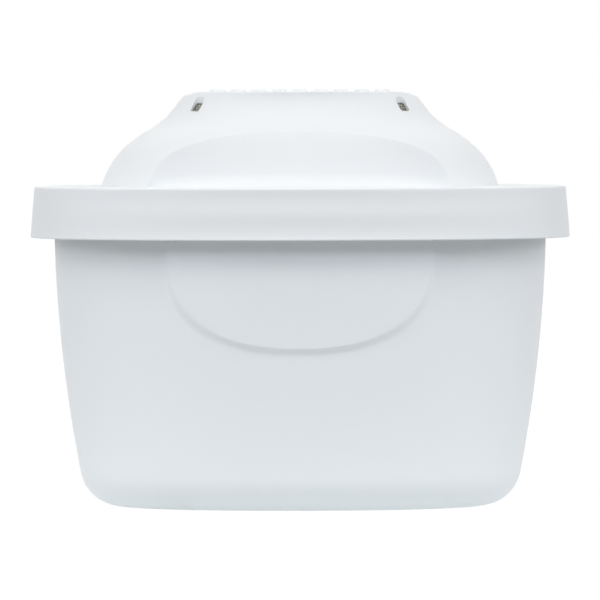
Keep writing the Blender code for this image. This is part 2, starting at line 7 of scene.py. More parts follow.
import bmesh
import bpy
import numpy as np
from mathutils import Matrix, Vector, noise


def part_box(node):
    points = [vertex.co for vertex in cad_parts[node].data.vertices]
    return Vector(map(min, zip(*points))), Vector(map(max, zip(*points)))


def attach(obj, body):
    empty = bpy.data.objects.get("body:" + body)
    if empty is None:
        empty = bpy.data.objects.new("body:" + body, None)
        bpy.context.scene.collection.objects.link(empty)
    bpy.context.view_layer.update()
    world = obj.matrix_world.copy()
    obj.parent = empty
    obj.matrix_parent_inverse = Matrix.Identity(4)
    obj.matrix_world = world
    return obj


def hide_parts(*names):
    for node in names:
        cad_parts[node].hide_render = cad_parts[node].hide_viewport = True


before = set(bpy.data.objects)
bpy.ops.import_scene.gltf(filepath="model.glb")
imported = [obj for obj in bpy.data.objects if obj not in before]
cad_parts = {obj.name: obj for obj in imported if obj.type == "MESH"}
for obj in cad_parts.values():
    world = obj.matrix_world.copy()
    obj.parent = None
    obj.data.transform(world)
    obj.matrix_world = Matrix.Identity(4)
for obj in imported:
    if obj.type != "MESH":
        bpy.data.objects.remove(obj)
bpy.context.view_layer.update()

# Sizes read from the frame
LID_LOW, LID_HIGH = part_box("lid")
CUP_LOW, CUP_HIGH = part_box("cup")
SCREEN_LOW, SCREEN_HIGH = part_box("outlet_screen")
MEDIA_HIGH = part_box("filter_media")[1]
RIM_HALF_WIDTH = LID_HIGH.x
RIM_HALF_DEPTH = LID_HIGH.y
RIM_UNDERSIDE_Z = LID_LOW.z
CUP_TOP_Z = CUP_HIGH.z

# Sizes that the frame's boxes don't give
PLAN_POWER = 2.25
CLEARANCE = 0.0003
WALL = 0.0012
FLANGE_TOP_Z = CUP_TOP_Z + CLEARANCE + WALL
FLANGE_UNDERSIDE_Z = FLANGE_TOP_Z - WALL

# Lid
SKIRT_FLARE = 0.0008
SKIRT_SWELL = 0.0001
SWELL_START = 0.37
SWELL_LENGTH = 0.56
RIM_EDGE_RADIUS = 0.0004
SKIRT_FOOT_RADIUS = 0.00025
FLANGE_AT_ENDS = 0.0138
FLANGE_AT_SIDES = 0.0095
DOME_HALF_WIDTH = RIM_HALF_WIDTH - FLANGE_AT_ENDS
DOME_HALF_DEPTH = RIM_HALF_DEPTH - FLANGE_AT_SIDES
DOME_HEIGHT = 0.0109
DOME_SHOULDER_INSET = 0.0091
DOME_LEAN = 0.35
DOME_POWER = 2.8
DOME_FOOT_RADIUS = 0.0003
NECK_BLEND_RISE = 0.0037
NECK_BLEND_INSET = 0.0046
NECK_RISE = 0.0028
NECK_INSET = 0.00215
NECK_SIDE_INSET = 0.0063
CROWN_RISE = 0.0010
CROWN_SHOULDER = 0.0048
PLATE_EDGE_RADIUS = 0.0003
TONGUE_DEPTH = 0.0026
TONGUE_WALL = 0.0010

# Finger scoops
SCOOP_END = 0.0095
SCOOP_RISE = 0.0107
SCOOP_HALF_WIDTH = DOME_HALF_WIDTH - SCOOP_END
SCOOP_TOP_Z = FLANGE_TOP_Z + SCOOP_RISE
SCOOP_SETBACK = 0.0088
SCOOP_LEAN = 0.27
SCOOP_TOP_LEAN = 0.66
SCOOP_BOW = 0.0033
SCOOP_BOW_POWER = 8
SPOON_POWER = 4
SCOOP_FILLET = 0.0026
CREASE_RADIUS = 0.00014
FLANGE_RUN = 0.0010
LEAST_RISE = 1e-7

# Windows in the neck's corners
WINDOW_FROM_END = 0.0037
WINDOW_LENGTH = 0.0023
WINDOW_WIDTH = 0.0019
WINDOW_CORNER = 0.0004
WINDOW_LEDGE = 0.0006

# Ribs on the top plate
RIB_PITCH = 0.0040
RIB_WIDTH = 0.0028
RIB_SIDE_MARGIN = 0.0042
RIB_END_MARGIN = 0.0055
RIB_EDGE_RADIUS = 0.0003

# Cup
CUP_WALL = 0.0012
COLLAR_CHANNEL = 0.0035
CUP_HALF_WIDTH = RIM_HALF_WIDTH - WALL - COLLAR_CHANNEL
CUP_HALF_DEPTH = RIM_HALF_DEPTH - WALL - COLLAR_CHANNEL
CUP_DRAFT = 0.022
CUP_BELLY = 1.9
FOOT_RADIUS = 0.0080
CUP_FLOOR = 0.0014
LIP_WIDTH = 0.0016
LIP_THICKNESS = 0.0013

# Raised pads
PAD_HALF_WIDTH = 0.0249
PAD_CENTRE_Z = 0.0479
PAD_DROP = 0.0164
PAD_POWER = 2.4
PAD_PROUD = 0.0008
PAD_FILLET = 0.0014
PAD_FILLET_POWER = 2.4

# Screens and granulate
SCREEN_MARGIN = 0.0006
SCREEN_DEPTH = 0.0008
INLET_PITCH = 0.00034
INLET_WIRE = 0.00007
OUTLET_PITCH = 0.00060
OUTLET_WIRE = 0.00010
GRAIN_SIZE = 0.0009
GRAIN_SINK = 0.9
MEDIA_HEAP = 0.0012

# Outlet well
WELL_MOUTH_RADIUS = 0.0112
WELL_ROOF_RADIUS = 0.0098
WELL_HEIGHT = 0.0095
WELL_ROOF = 0.0014
WELL_ROOF_EDGE_RADIUS = 0.0004
WELL_MOUTH_EDGE_RADIUS = 0.0005
OUTLET_WINDOW_INNER = 0.0022
OUTLET_WINDOW_OUTER = 0.0082
OUTLET_WINDOWS = 6
OUTLET_SPOKE = 0.0014

# Heights and insets worked out from those above
SHOULDER_Z = FLANGE_TOP_Z + DOME_HEIGHT
NECK_FOOT_Z = SHOULDER_Z + NECK_BLEND_RISE
PLATE_EDGE_Z = NECK_FOOT_Z + NECK_RISE
PLATE_TOP_Z = PLATE_EDGE_Z + CROWN_RISE
RIB_TOP_Z = LID_HIGH.z
PLATE_HALF_WIDTH = DOME_HALF_WIDTH - DOME_SHOULDER_INSET - NECK_BLEND_INSET - NECK_INSET
WELL_TOP_Z = WELL_HEIGHT + WELL_ROOF

# How finely the meshes step
PLAN_SAMPLES = 7201
LID_COLUMNS = 448
CUP_COLUMNS = 384
MEDIA_COLUMNS = 300
DOME_SHARES = np.linspace(0.02, 0.962, 84)
PLATE_SHARES = (0.12, 0.3, 0.5, 0.65, 0.78, 0.88, 0.94, 0.97)
SKIRT_SHARES = np.linspace(0.1, 0.96, 15)
OPEN_SHARES = (0.15, 0.35, 0.6, 0.85)
PAD_LOW_Z = 0.0290
PAD_CURVE_Z = 0.0345
PAD_SIDE_Z = 0.0440
CREASE_BISECTIONS = 40
NECK_BISECTIONS = 26
EDGE_ROUNDS = 12
ARC_STEPS = 4
RIB_END_STEPS = 12
TWIN_DISTANCE = 1e-7
LID_SHARP_ANGLE = 28
CUP_SHARP_ANGLE = 35

# Colours and roughness
CUP_COLOUR = (0.875, 0.90, 0.915)
LID_COLOUR = (0.87, 0.89, 0.90)
MESH_COLOUR = (0.235, 0.24, 0.17)
GRANULATE_COLOUR = (0.10, 0.08, 0.06)
CUP_ROUGHNESS = 0.42
LID_ROUGHNESS = 0.40
MESH_ROUGHNESS = 0.75
GRANULATE_ROUGHNESS = 0.9

# Studio: the floor's glow under and near the part, and softboxes with their brightness seen from the part
FLOOR_DROP = 0.00005
GLOW_RADIUS = 0.12
GLOW = 0.505
GLOW_COLOUR = (0.93, 1.0, 1.01)
SHADE_RADIUS = 0.16
SHADE_REACH = 0.60
SHADE_GLOW = 0.93
GLOW_EDGE = 0.01
LIT_FLOOR_GREY = 0.36
SEEN_FLOOR_GREY = 0.12
FILL = 0.057
SOFTBOXES = (
    ("front_low", (0.0, -1.15, 0.80), 1.4, 0.4, 2.65, (0.94, 1.0, 1.12)),
    ("front_high", (0.0, -0.75, 1.08), 1.4, 0.4, 3.38, (1.03, 1.0, 0.92)),
    ("key_left", (-1.15, -0.55, 0.90), 0.8, 0.8, 2.33, (1.0, 1.0, 1.04)),
    ("key_right", (1.15, -0.55, 0.90), 0.8, 0.8, 2.33, (1.0, 1.0, 1.04)),
    ("side_high_left", (-1.0, 0.0, 1.15), 0.7, 0.6, 1.58, (1.01, 1.0, 0.99)),
    ("side_high_right", (1.0, 0.0, 1.15), 0.7, 0.6, 1.58, (1.01, 1.0, 0.99)),
    ("side_low_left", (-1.45, 0.0, 0.50), 0.7, 0.5, 2.30, (0.98, 1.0, 1.06)),
    ("side_low_right", (1.45, 0.0, 0.50), 0.7, 0.5, 2.30, (0.98, 1.0, 1.06)),
    ("low_left", (-1.35, -0.5, 0.40), 0.6, 0.4, 0.64, (1.0, 1.0, 1.02)),
    ("low_right", (1.35, -0.5, 0.40), 0.6, 0.4, 0.42, (1.0, 1.0, 1.02)),
    ("back", (0.0, 1.2, 1.10), 1.6, 0.5, 1.65, (0.93, 1.0, 1.02)),
)

# The photograph's camera
PHOTO_SIDE = 600
PIXELS_PER_METRE = 5133.0
CAMERA_DISTANCE = 1.50
CENTRE_COLUMN = 300.3
HORIZON_ROW = 90.5
FLOOR_ROW = 504.7
CAMERA_ROLL = -0.11


# Plan shapes

def oval(angles, half_width, half_depth):
    """Plan points of an oval at the given angles, as two arrays."""
    cosine, sine = np.cos(angles), np.sin(angles)
    x = half_width * np.sign(cosine) * np.abs(cosine) ** (2 / PLAN_POWER)
    y = half_depth * np.sign(sine) * np.abs(sine) ** (2 / PLAN_POWER)
    return x, y


def oval_depth(half_width, half_depth, x):
    share = np.minimum(np.abs(x) / half_width, 1.0)
    return half_depth * (1 - share ** PLAN_POWER) ** (1 / PLAN_POWER)


def spread_angles(count, half_width, half_depth, crowd_x=None, crowd_width=1.0, crowding=0.0):
    """Angles that step evenly round an oval, or closer together near the four points at +-crowd_x."""
    fine = np.linspace(0, 2 * np.pi, PLAN_SAMPLES)
    x, y = oval(fine, half_width, half_depth)
    step = np.hypot(np.diff(x), np.diff(y))
    if crowd_x is not None:
        middle = (x[1:] + x[:-1]) / 2
        step = step * (1 + crowding * np.exp(-((np.abs(middle) - crowd_x) / crowd_width) ** 2))
    length = np.concatenate(([0.0], np.cumsum(step)))
    return np.interp(np.arange(count) / count * length[-1], length, fine)


def ring(angles, half_width, half_depth, height):
    x, y = oval(angles, half_width, half_depth)
    return np.stack([x, y, np.broadcast_to(height, x.shape)], axis=1)


def round_ring(angles, radius, height):
    x, y = radius * np.cos(angles), radius * np.sin(angles)
    return np.stack([x, y, np.full(angles.shape, height)], axis=1)


def between(first, last, shares):
    """Rings between two rings."""
    return [first + (last - first) * share for share in shares]


def towards(start, goal, distance):
    """The ring a distance away from start, in the direction of goal."""
    way = goal - start
    return start + way * (distance / np.maximum(np.linalg.norm(way, axis=1), 1e-9))[:, None]


def rounded(before, corner, after, radius, steps=ARC_STEPS):
    """Rings that round a corner between two neighbouring rings."""
    first = towards(corner, before, radius)
    last = towards(corner, after, radius)
    return [first * (1 - t) ** 2 + corner * 2 * t * (1 - t) + last * t ** 2
            for t in np.linspace(0, 1, steps + 1)]


# Meshes

def mesh_object(name, vertices, faces, smooth_angle=None):
    mesh = bpy.data.meshes.new(name)
    mesh.from_pydata(vertices, [], faces)
    mesh.update()
    item = bpy.data.objects.new(name, mesh)
    bpy.context.scene.collection.objects.link(item)
    if smooth_angle is not None:
        mesh.shade_smooth()
        mesh.set_sharp_from_angle(angle=math.radians(smooth_angle))
    return item


def shell_from_rings(name, rings, first_pole, last_pole, smooth_angle=35):
    """Closed skin through rings of equal length, with a point at either end."""
    count = len(rings[0])
    vertices = np.concatenate([np.array([first_pole]), *rings, np.array([last_pole])])
    here = np.arange(count)
    following = (here + 1) % count
    faces = [(0, 1 + j, 1 + k) for j, k in zip(here, following)]
    for number in range(len(rings) - 1):
        upper = 1 + number * count
        lower = upper + count
        block = np.stack([upper + here, lower + here, lower + following, upper + following], axis=1)
        faces += block.tolist()
    final = 1 + (len(rings) - 1) * count
    tip = len(vertices) - 1
    faces += [(final + j, tip, final + k) for j, k in zip(here.tolist(), following.tolist())]
    faces = [tuple(int(i) for i in face) for face in faces]
    return mesh_object(name, vertices.tolist(), faces, smooth_angle)


def apply_boolean(target, tool, operation):
    modifier = target.modifiers.new("cut", "BOOLEAN")
    modifier.operation = operation
    modifier.solver = "EXACT"
    modifier.object = tool
    graph = bpy.context.evaluated_depsgraph_get()
    result = bpy.data.meshes.new_from_object(target.evaluated_get(graph))
    target.modifiers.clear()
    old = target.data
    target.data = result
    result.name = target.name
    bpy.data.meshes.remove(old)
    bpy.data.objects.remove(tool, do_unlink=True)


def face_outwards(item):
    mesh = bmesh.new()
    mesh.from_mesh(item.data)
    bmesh.ops.recalc_face_normals(mesh, faces=mesh.faces)
    mesh.to_mesh(item.data)
    mesh.free()


def join_twins(item):
    """Joins points that a boolean leaves on the same spot."""
    mesh = bmesh.new()
    mesh.from_mesh(item.data)
    bmesh.ops.remove_doubles(mesh, verts=mesh.verts, dist=TWIN_DISTANCE)
    mesh.to_mesh(item.data)
    mesh.free()


def soften(item, angle):
    item.data.shade_smooth()
    item.data.set_sharp_from_angle(angle=math.radians(angle))


def prisms(name, outlines, low_z, high_z):
    """Upright prisms on plan outlines that run counter-clockwise."""
    vertices, faces = [], []
    for outline in outlines:
        base = len(vertices)
        count = len(outline)
        vertices += [(x, y, low_z) for x, y in outline]
        vertices += [(x, y, high_z) for x, y in outline]
        faces.append(tuple(base + i for i in reversed(range(count))))
        faces.append(tuple(base + count + i for i in range(count)))
        for i in range(count):
            j = (i + 1) % count
            faces.append((base + i, base + j, base + count + j, base + count + i))
    return mesh_object(name, vertices, faces)


# Dome and neck

def dome_inset(height):
    rise = np.clip(np.asarray(height, float) - FLANGE_TOP_Z, 0, DOME_HEIGHT)
    turned_in = DOME_SHOULDER_INSET - DOME_LEAN * DOME_HEIGHT
    return DOME_LEAN * rise + turned_in * (rise / DOME_HEIGHT) ** DOME_POWER


def end_inset(height):
    height = np.asarray(height, float)
    share = np.clip((height - SHOULDER_Z) / NECK_BLEND_RISE, 0, 1)
    straight_slope = NECK_INSET / NECK_RISE
    sag = (NECK_BLEND_INSET - straight_slope * NECK_BLEND_RISE) * share * (1 - share)
    neck = straight_slope * np.maximum(height - NECK_FOOT_Z, 0)
    return dome_inset(height) + NECK_BLEND_INSET * share + sag + neck


def side_inset(height):
    height = np.asarray(height, float)
    share = np.clip((height - SHOULDER_Z) / (PLATE_TOP_Z - SHOULDER_Z), 0, 1)
    return dome_inset(height) + NECK_SIDE_INSET * (1 - (1 - share) ** 2)


def wall_inset(inset, height, depth_inside):
    step = 0.0001
    low = np.maximum(height - step, FLANGE_TOP_Z)
    slope = (inset(height + step) - inset(low)) / (height + step - low)
    return inset(height) + depth_inside * np.hypot(1.0, slope)


def dome_axes(height, depth_inside=0.0):
    half_width = DOME_HALF_WIDTH - wall_inset(end_inset, height, depth_inside)
    half_depth = DOME_HALF_DEPTH - wall_inset(side_inset, height, depth_inside)
    return half_width, half_depth


def scoop_wall(x, height, fillet_radius=SCOOP_FILLET):
    """Distance of a scoop's wall from the part's middle plane."""
    across = np.minimum(np.abs(x) / SCOOP_HALF_WIDTH, 1.0)
    rise = np.clip(height - FLANGE_TOP_Z, 0, fillet_radius)
    fillet = fillet_radius - np.sqrt(fillet_radius ** 2 - (fillet_radius - rise) ** 2)
    drop = SCOOP_TOP_Z - height
    share = np.clip(drop / (SCOOP_TOP_Z - FLANGE_TOP_Z), 0, 1)
    spoon = (SCOOP_TOP_Z - FLANGE_TOP_Z) * (SCOOP_TOP_LEAN - SCOOP_LEAN)
    spoon = spoon * (1 - (1 - share) ** SPOON_POWER) / SPOON_POWER
    forward = SCOOP_LEAN * drop + spoon + fillet
    bow = SCOOP_BOW * across ** 2 * (1 - across ** SCOOP_BOW_POWER)
    return DOME_HALF_DEPTH - SCOOP_SETBACK - bow + (1 - across ** 2) * forward


def dome_ring(angles, height, depth_inside=0.0):
    """Ring of the dome or neck at one height, or at one height for each angle."""
    height = np.broadcast_to(np.asarray(height, float), angles.shape)
    x, y = oval(angles, *dome_axes(height, depth_inside))
    return np.stack([x, y, height], axis=1)


def crease_ring(angles):
    """Ring where the dome runs into the scoops, and beside them into the flange."""
    low = np.full(angles.shape, FLANGE_TOP_Z)
    high = np.full(angles.shape, SHOULDER_Z)
    for _ in range(CREASE_BISECTIONS):
        middle = (low + high) / 2
        spot = dome_ring(angles, middle)
        proud = np.abs(spot[:, 1]) > scoop_wall(spot[:, 0], middle)
        low = np.where(proud, middle, low)
        high = np.where(proud, high, middle)
    return dome_ring(angles, low)


def scoop_rings(crease, rim):
    """From the crease down the scoops' walls, and beside the scoops a little way over the flange."""
    x = crease[:, 0]
    rise = crease[:, 2] - FLANGE_TOP_Z
    carved = (rise > LEAST_RISE)[:, None]
    run = towards(crease, rim, np.clip((np.abs(x) - SCOOP_HALF_WIDTH) / 2, 0, FLANGE_RUN))
    fillet_rise = np.minimum(rise, SCOOP_FILLET)
    rises = [rise + (fillet_rise - rise) * share for share in np.linspace(0, 1, 11)[1:]]
    rises += [fillet_rise * (1 - math.sin(angle)) for angle in np.linspace(0, np.pi / 2, 12)[1:]]
    rings = []
    for number, lift in enumerate(rises, 1):
        height = FLANGE_TOP_Z + lift
        wall = np.stack([x, np.sign(crease[:, 1]) * scoop_wall(x, height), height], axis=1)
        beside = crease + (run - crease) * number / len(rises)
        rings.append(np.where(carved, wall, beside))
    return rings


def round_crease(before, crease, after):
    """Rings that round the scoops' crisp upper edges and the dome's foot beside them."""
    radius = np.where(crease[:, 2] > FLANGE_TOP_Z + LEAST_RISE, CREASE_RADIUS, DOME_FOOT_RADIUS)
    for neighbour in (before, after):
        radius = np.minimum(radius, 0.45 * np.linalg.norm(neighbour - crease, axis=1))
    return rounded(before, crease, after, radius)


def hollow_ring(angles, height):
    """Ring of the space under the dome, one wall behind the dome and the scoops."""
    points = dome_ring(angles, height, WALL)
    behind = scoop_wall(points[:, 0], points[:, 2], 1e-9) - WALL * math.hypot(1, SCOOP_LEAN)
    points[:, 1] = np.clip(points[:, 1], -behind, behind)
    return points


def crown_height(x):
    bend = np.maximum(np.abs(x) - (PLATE_HALF_WIDTH - CROWN_SHOULDER), 0) / CROWN_SHOULDER
    return PLATE_TOP_Z - CROWN_RISE * bend ** 2


def plate_edge(angles):
    """Ring where the neck meets the crowned top plate."""
    height = np.full(angles.shape, PLATE_TOP_Z)
    for _ in range(EDGE_ROUNDS):
        edge = dome_ring(angles, height)
        height = crown_height(edge[:, 0])
    return dome_ring(angles, height)


def skirt_ring(angles, share):
    """Ring of the skirt, from its top at share 0 to its lower edge at share 1.

    Its soft swells fade towards the ends of the long way.
    """
    fade = 1 - np.abs(np.cos(angles)) ** (4 / PLAN_POWER)
    turn = 2 * math.pi * (share - SWELL_START) / SWELL_LENGTH
    swell = SKIRT_SWELL * fade * (1 - math.sin(turn))
    inset = SKIRT_FLARE * (1 - share) + swell
    height = FLANGE_TOP_Z + (RIM_UNDERSIDE_Z - FLANGE_TOP_Z) * share
    return ring(angles, RIM_HALF_WIDTH - inset, RIM_HALF_DEPTH - inset, height)


def lid_outer_rings(angles):
    edge = plate_edge(angles)
    flat = [edge * np.array([share, share, 0]) for share in PLATE_SHARES]
    for piece in flat:
        piece[:, 2] = crown_height(piece[:, 0])
    crease = crease_ring(angles)
    fall = crease[:, 2] - edge[:, 2]
    dome = [dome_ring(angles, edge[:, 2] + fall * share) for share in DOME_SHARES]
    rings = flat + rounded(flat[-1], edge, dome[0], PLATE_EDGE_RADIUS) + dome[1:]
    rim = ring(angles, RIM_HALF_WIDTH - SKIRT_FLARE, RIM_HALF_DEPTH - SKIRT_FLARE, FLANGE_TOP_Z)
    skirt_foot = ring(angles, RIM_HALF_WIDTH, RIM_HALF_DEPTH, RIM_UNDERSIDE_Z)
    scoops = scoop_rings(crease, rim)
    rings += round_crease(dome[-1], crease, scoops[0]) + scoops
    rings += between(scoops[-1], rim, OPEN_SHARES)
    rings += rounded(scoops[-1], rim, skirt_foot, RIM_EDGE_RADIUS, 6)
    rings += [skirt_ring(angles, share) for share in SKIRT_SHARES]
    inner_foot = ring(angles, RIM_HALF_WIDTH - WALL, RIM_HALF_DEPTH - WALL, RIM_UNDERSIDE_Z)
    rings += rounded(rim, skirt_foot, inner_foot, SKIRT_FOOT_RADIUS)
    return rings, skirt_foot, inner_foot


def lid_inner_rings(angles, skirt_foot, inner_foot):
    width = RIM_HALF_WIDTH - WALL - SKIRT_FLARE
    depth = RIM_HALF_DEPTH - WALL - SKIRT_FLARE
    top = ring(angles, width, depth, FLANGE_UNDERSIDE_Z)
    tongue_width, tongue_depth = cup_axes(CUP_TOP_Z, CUP_WALL + CLEARANCE)
    tongue_low = CUP_TOP_Z - TONGUE_DEPTH
    tongue = [
        ring(angles, tongue_width, tongue_depth, FLANGE_UNDERSIDE_Z),
        ring(angles, tongue_width - CLEARANCE, tongue_depth - CLEARANCE, tongue_low),
        ring(angles, tongue_width - TONGUE_WALL, tongue_depth - TONGUE_WALL, tongue_low),
        ring(angles, tongue_width - TONGUE_WALL, tongue_depth - TONGUE_WALL, FLANGE_UNDERSIDE_Z),
    ]
    rings = rounded(skirt_foot, inner_foot, top, SKIRT_FOOT_RADIUS)
    rings += between(inner_foot, top, (0.3, 0.6, 0.9))
    rings += rounded(inner_foot, top, tongue[0], RIM_EDGE_RADIUS) + tongue
    low = hollow_ring(angles, FLANGE_TOP_Z)
    low[:, 2] = FLANGE_UNDERSIDE_Z
    rings += between(tongue[-1], low, (0.5, 1.0))
    roof = PLATE_EDGE_Z - WALL
    rings += [hollow_ring(angles, height) for height in np.linspace(FLANGE_TOP_Z, roof, 24)]
    rings += [rings[-1] * np.array([share, share, 1]) for share in (0.9, 0.6, 0.3)]
    return rings


def window_places():
    """Middle of each window's inner side in plan, with its outward direction."""
    half_width, half_depth = (float(v) for v in dome_axes(np.array(PLATE_EDGE_Z)))
    x = PLATE_HALF_WIDTH - WINDOW_FROM_END
    y = float(oval_depth(half_width, half_depth, x))
    across = (x / half_width) ** (PLAN_POWER - 1) / half_width
    along = (y / half_depth) ** (PLAN_POWER - 1) / half_depth
    outward = Vector((across, along)).normalized()
    for side_x, place_x in ((-1, "left"), (1, "right")):
        for side_y, place_y in ((-1, "front"), (1, "back")):
            yield (f"{place_y}_{place_x}", Vector((side_x * x, side_y * y)),
                   Vector((side_x * outward.x, side_y * outward.y)))


def window_outline(middle, outward):
    """Plan outline of a window, with rounded corners."""
    sideways = Vector((-outward.y, outward.x))
    outline = []
    half = WINDOW_LENGTH / 2
    corners = ((0, -half), (WINDOW_WIDTH, -half), (WINDOW_WIDTH, half), (0, half))
    for number, (out, along) in enumerate(corners):
        centre_out = out + (WINDOW_CORNER if out == 0 else -WINDOW_CORNER)
        centre_along = along - math.copysign(WINDOW_CORNER, along)
        for step in range(ARC_STEPS + 1):
            angle = math.pi + math.pi / 2 * number + math.pi / 2 * step / ARC_STEPS
            spot_out = centre_out + WINDOW_CORNER * math.cos(angle)
            spot_along = centre_along + WINDOW_CORNER * math.sin(angle)
            spot = middle + outward * spot_out + sideways * spot_along
            outline.append((spot.x, spot.y))
    return outline


def rib_solids():
    """Flat plain ribs with rounded ends and edges, as separate closed bodies."""
    half_width, half_depth = (float(v) for v in dome_axes(np.array(PLATE_TOP_Z)))
    side_count = int((PLATE_HALF_WIDTH - RIB_END_MARGIN) / RIB_PITCH)
    radius = RIB_WIDTH / 2
    vertices, faces = [], []
    levels = [(0.0, PLATE_TOP_Z - WALL / 2)]
    for step in range(ARC_STEPS + 1):
        angle = math.pi / 2 * step / ARC_STEPS
        levels.append((RIB_EDGE_RADIUS * (1 - math.cos(angle)),
                       RIB_TOP_Z - RIB_EDGE_RADIUS * (1 - math.sin(angle))))
    turns = RIB_END_STEPS
    for number in range(-side_count, side_count + 1):
        x = number * RIB_PITCH
        straight = float(oval_depth(half_width, half_depth, x)) - RIB_SIDE_MARGIN - radius
        base = len(vertices)
        count = 2 * (turns + 1)
        for inset, height in levels:
            for end, start in ((1, 0.0), (-1, math.pi)):
                for step in range(turns + 1):
                    angle = start + math.pi * step / turns
                    vertices.append((x + (radius - inset) * math.cos(angle),
                                     end * straight + (radius - inset) * math.sin(angle), height))
        faces.append(tuple(base + i for i in reversed(range(count))))
        for level in range(len(levels) - 1):
            low = base + level * count
            for i in range(count):
                j = (i + 1) % count
                faces.append((low + i, low + j, low + count + j, low + count + i))
        faces.append(tuple(base + (len(levels) - 1) * count + i for i in range(count)))
    return mesh_object("rib_solids", vertices, faces)


def neck_height(x, y, depth_inside):
    """Height at which a skin inside the dome and neck passes over points of the plan."""
    low = np.full(x.shape, FLANGE_TOP_Z)
    high = np.full(x.shape, PLATE_EDGE_Z)
    for _ in range(NECK_BISECTIONS):
        middle = (low + high) / 2
        half_width, half_depth = dome_axes(middle, depth_inside)
        inside = (np.abs(x) < half_width) & (np.abs(y) < oval_depth(half_width, half_depth, x))
        low = np.where(inside, middle, low)
        high = np.where(inside, high, middle)
    return np.minimum(low, PLATE_EDGE_Z - depth_inside)


def screen_pockets():
    """Pockets behind the windows, which leave a thin ledge round each over its screen."""
    steps = 14
    margin = SCREEN_MARGIN + CLEARANCE
    along, out = np.meshgrid(np.linspace(-1, 1, steps + 1) * (WINDOW_LENGTH / 2 + margin),
                             np.linspace(-margin, WINDOW_WIDTH + margin, steps + 1), indexing="ij")
    vertices, faces = [], []
    edge = steps + 1
    for _, middle, outward in window_places():
        x = middle.x + outward.x * out - outward.y * along
        y = middle.y + outward.y * out + outward.x * along
        base = len(vertices)
        for depth in (WINDOW_LEDGE, WALL + CLEARANCE):
            vertices += np.stack([x, y, neck_height(x, y, depth)], axis=2).reshape(-1, 3).tolist()
        under = edge * edge
        for i in range(steps):
            for j in range(steps):
                spot = base + i * edge + j
                faces.append((spot, spot + 1, spot + edge + 1, spot + edge))
                faces.append((spot + under, spot + under + edge, spot + under + edge + 1, spot + under + 1))
            for first, second in ((i, i + 1), (steps * edge + i + 1, steps * edge + i),
                                  ((i + 1) * edge, i * edge), (i * edge + steps, (i + 1) * edge + steps)):
                faces.append((base + first, base + under + first, base + under + second, base + second))
    pockets = mesh_object("screen_pockets", vertices, faces)
    face_outwards(pockets)
    return pockets


def make_lid():
    crowd_x, crowd_width, crowding = SCOOP_HALF_WIDTH - 0.002, 0.004, 1.5
    angles = spread_angles(LID_COLUMNS, DOME_HALF_WIDTH, DOME_HALF_DEPTH, crowd_x, crowd_width, crowding)
    outer, skirt_foot, inner_foot = lid_outer_rings(angles)
    rings = outer + lid_inner_rings(angles, skirt_foot, inner_foot)
    lid = shell_from_rings("lid_shell", rings, (0, 0, PLATE_TOP_Z), (0, 0, PLATE_TOP_Z - WALL))
    apply_boolean(lid, rib_solids(), "UNION")
    outlines = [window_outline(middle, outward) for _, middle, outward in window_places()]
    cutters = prisms("window_cutters", outlines, SHOULDER_Z - WALL, PLATE_TOP_Z + WALL)
    apply_boolean(lid, cutters, "DIFFERENCE")
    apply_boolean(lid, screen_pockets(), "DIFFERENCE")
    join_twins(lid)
    soften(lid, LID_SHARP_ANGLE)
    return lid


# Woven screens

def tube(vertices, faces, points, ups, radius):
    """Adds a closed wire along points, with an upward direction at each."""
    sides = 6
    along = np.gradient(points, axis=0)
    along /= np.linalg.norm(along, axis=1)[:, None]
    across = np.cross(along, ups)
    across /= np.linalg.norm(across, axis=1)[:, None]
    up = np.cross(across, along)
    base = len(vertices)
    for spot, side, lift in zip(points, across, up):
        for number in range(sides):
            angle = 2 * math.pi * number / sides
            vertices.append(tuple(spot + radius * (math.cos(angle) * side + math.sin(angle) * lift)))
    last = base + (len(points) - 1) * sides
    faces.append(tuple(base + i for i in range(sides)))
    faces.append(tuple(last + i for i in reversed(range(sides))))
    for step in range(len(points) - 1):
        low = base + step * sides
        for i in range(sides):
            j = (i + 1) % sides
            faces.append((low + i, low + sides + i, low + sides + j, low + j))


def woven_cloth(name, place, reach, pitch, radius):
    """Plain weave of round wires.

    place turns a spot of the cloth and a lift into points, and reach(line, way) gives a wire's two ends.
    """
    vertices, faces = [], []
    for way in (0, 1):
        for number, line, start, end in reach(way):
            steps = max(int((end - start) / pitch * 6), 4)
            run = np.linspace(start, end, steps + 1)
            sign = (1 if way == 0 else -1) * (-1) ** number
            lift = sign * radius * np.cos(np.pi * run / pitch)
            spots = (run, np.full_like(run, line)) if way == 0 else (np.full_like(run, line), run)
            points = place(*spots, lift)
            ups = place(*spots, lift + pitch) - points
            ups /= np.linalg.norm(ups, axis=1)[:, None]
            tube(vertices, faces, points, ups, radius)
    cloth = mesh_object(name, vertices, faces)
    face_outwards(cloth)
    soften(cloth, 60)
    return cloth


def make_inlet_screen(name, middle, outward):
    sideways = Vector((-outward.y, outward.x))
    half_length = WINDOW_LENGTH / 2 + SCREEN_MARGIN - INLET_WIRE
    inner = INLET_WIRE - SCREEN_MARGIN
    outer = WINDOW_WIDTH + SCREEN_MARGIN - INLET_WIRE

    def place(along, out, lift):
        x = middle.x + outward.x * out + sideways.x * along
        y = middle.y + outward.y * out + sideways.y * along
        return np.stack([x, y, neck_height(x, y, SCREEN_DEPTH) + lift], axis=1)

    def reach(way):
        span, low, high = ((outer - inner, -half_length, half_length) if way == 0
                           else (2 * half_length, inner, outer))
        start = inner if way == 0 else -half_length
        count = int(span / INLET_PITCH)
        first = start + (span - count * INLET_PITCH) / 2
        for number in range(count + 1):
            yield number, first + number * INLET_PITCH, low, high

    return woven_cloth(name, place, reach, INLET_PITCH, INLET_WIRE)


